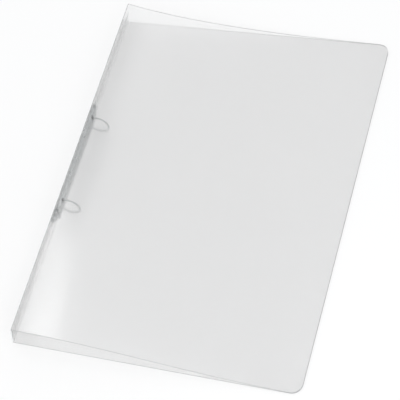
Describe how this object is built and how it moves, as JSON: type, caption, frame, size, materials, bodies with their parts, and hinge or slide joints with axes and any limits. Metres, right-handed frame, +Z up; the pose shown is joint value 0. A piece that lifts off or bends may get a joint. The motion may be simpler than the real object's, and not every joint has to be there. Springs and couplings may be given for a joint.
{
  "type": "ring binder",
  "caption": "Closed A4 ring binder of frosted translucent plastic with two creased hinges and a riveted steel ring mechanism on its spine that opens.",
  "frame": {"origin": "centre of the bounding box on the surface that the back cover lies on", "axes": "+X from the spine to the fore-edge, +Y along the spine to the head, +Z up through the covers"},
  "size_m": [0.241, 0.316, 0.0298],
  "materials": {
    "frosted_sheet": "frosted translucent polypropylene sheet, fine matt grain",
    "nickel_plate": "bright nickel plate on sheet steel and wire"
  },
  "bodies": {
    "back": {"back_cover": "frosted_sheet"},
    "spine": {"spine_panel": "frosted_sheet", "mechanism_housing": "nickel_plate", "head_rivet": "nickel_plate", "tail_rivet": "nickel_plate"},
    "front": {"front_cover": "frosted_sheet"},
    "upper_rings": {"upper_carrier": "nickel_plate", "upper_half_ring_head": "nickel_plate", "upper_half_ring_tail": "nickel_plate"},
    "lower_rings": {"lower_carrier": "nickel_plate", "lower_half_ring_head": "nickel_plate", "lower_half_ring_tail": "nickel_plate"}
  },
  "joints": [
    {"name": "back_crease", "type": "hinge", "parent": "back", "child": "spine", "pos_m": [-0.12049, 0, 0.0004], "axis": [0, -1, 0], "range_deg": [0, 102]},
    {"name": "front_crease", "type": "hinge", "parent": "spine", "child": "front", "pos_m": [-0.11106, 0, 0.02941], "axis": [0, -1, 0], "range_deg": [0, 84]},
    {"name": "upper_ring_hinge", "type": "hinge", "parent": "spine", "child": "upper_rings", "pos_m": [-0.11034, 0.002, 0.0245], "axis": [0, -1, 0], "range_deg": [0, 10]},
    {"name": "lower_ring_hinge", "type": "hinge", "parent": "spine", "child": "lower_rings", "pos_m": [-0.1156, 0.002, 0.00833], "axis": [0, 1, 0], "range_deg": [0, 10]}
  ],
  "couplings": [
    {"joint": "lower_ring_hinge", "follows": "upper_ring_hinge", "ratio": 1}
  ]
}
